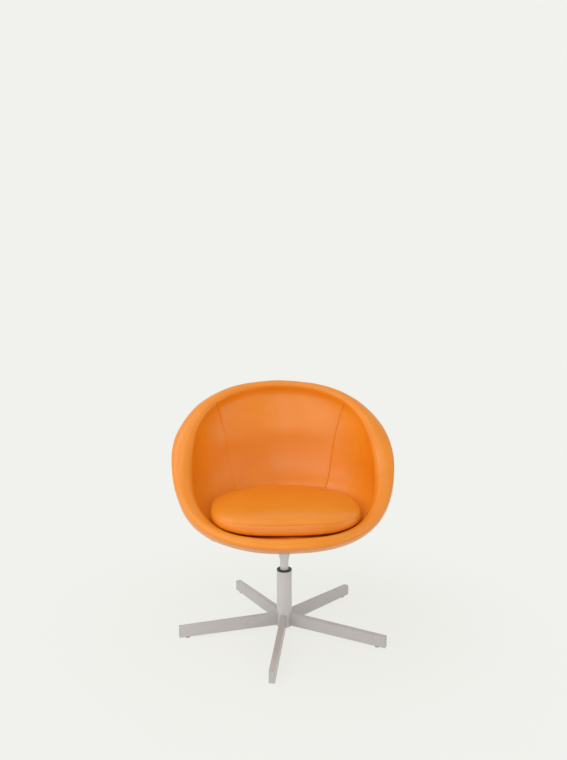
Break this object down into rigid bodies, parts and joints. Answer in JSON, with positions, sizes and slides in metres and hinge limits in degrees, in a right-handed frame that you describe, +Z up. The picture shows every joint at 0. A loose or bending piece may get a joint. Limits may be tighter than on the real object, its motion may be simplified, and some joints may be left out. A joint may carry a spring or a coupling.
{
  "type": "swivel armchair",
  "caption": "Upholstered tub armchair with a loose seat cushion on a swivel gas lift and a slim star base; the seat turns and rises.",
  "frame": {"origin": "on the floor, on the swivel axis, at the middle of the base", "axes": "+Z up along the swivel axis; the seat faces -Y, so +Y points to its back; +X is the sitter's left"},
  "size_m": [0.7444, 0.6913, 0.8057],
  "materials": {
    "base_paint": "satin warm grey powder coat",
    "gas_paint": "satin warm grey paint",
    "black_paint": "matt black paint",
    "plate_steel": "zinc plated",
    "race_steel": "ground steel",
    "brass": "machined",
    "black_rubber": "matt",
    "bush": "moulded black plastic",
    "grip": "moulded black plastic",
    "leg_cap": "moulded in the colour of the base",
    "glide": "hard plastic",
    "board": "birch plywood",
    "tub": "moulded composite",
    "foam": "moulded foam",
    "hook_strip": "woven hook strip",
    "leather": "smooth, low gloss"
  },
  "bodies": {
    "base": {"column_tube": "base_paint", "leg_1": "base_paint", "leg_2": "base_paint", "leg_3": "base_paint", "leg_4": "base_paint", "leg_5": "base_paint", "leg_cap_1": "leg_cap", "leg_cap_2": "leg_cap", "leg_cap_3": "leg_cap", "leg_cap_4": "leg_cap", "leg_cap_5": "leg_cap", "glide_1": "glide", "glide_2": "glide", "glide_3": "glide", "glide_4": "glide", "glide_5": "glide", "column_end_plate": "plate_steel", "guide_bush": "bush", "bearing_washer_lower": "race_steel"},
    "spindle": {"piston_rod": "race_steel", "piston": "plate_steel", "piston_seal": "black_rubber", "bearing_washer_upper": "race_steel", "bearing_balls": "race_steel", "ball_cage": "brass", "bump_stop": "black_rubber", "retaining_clip": "plate_steel"},
    "seat": {"gas_cylinder": "gas_paint", "cylinder_gland": "bush", "valve_body": "brass", "taper_socket": "gas_paint", "mechanism_box": "black_paint", "seat_plate": "black_paint", "plate_bolts": "plate_steel", "plate_washers": "plate_steel", "tee_nuts": "plate_steel", "lever_pivot_pin": "race_steel", "seat_board": "board", "shell_tub": "tub", "outer_wadding": "foam", "pan_foam": "foam", "back_foam": "foam", "arm_foam_left": "foam", "arm_foam_right": "foam", "front_foam": "foam", "outer_cover": "leather", "back_panel": "leather", "arm_panel_left": "leather", "arm_panel_right": "leather", "front_panel": "leather", "pan_panel": "leather", "grip_strips": "hook_strip", "cushion_foam": "foam", "cushion_top_panel": "leather", "cushion_border": "leather", "cushion_base_panel": "leather"},
    "lever": {"lever_strip": "black_paint", "lever_grip": "grip"},
    "valve_pin": {"release_pin": "race_steel"}
  },
  "joints": [
    {"name": "swivel", "type": "hinge", "parent": "base", "child": "spindle", "pos_m": [0, 0, 0], "axis": [0, 0, 1], "continuous": true},
    {"name": "seat_lift", "type": "slide", "parent": "spindle", "child": "seat", "axis": [0, 0, 1], "range_m": [-0.02, 0.08]},
    {"name": "lever_lift", "type": "hinge", "parent": "seat", "child": "lever", "pos_m": [-0.038, 0, 0.2969], "axis": [0, 1, 0], "range_deg": [0, 4], "stiffness_Nm_per_rad": 6, "springref_deg": -6.88},
    {"name": "pin_press", "type": "slide", "parent": "seat", "child": "valve_pin", "axis": [0, 0, -1], "range_m": [0, 0.0027]}
  ],
  "couplings": [
    {"joint": "pin_press", "follows": "lever_lift", "m_per_rad": 0.038}
  ]
}
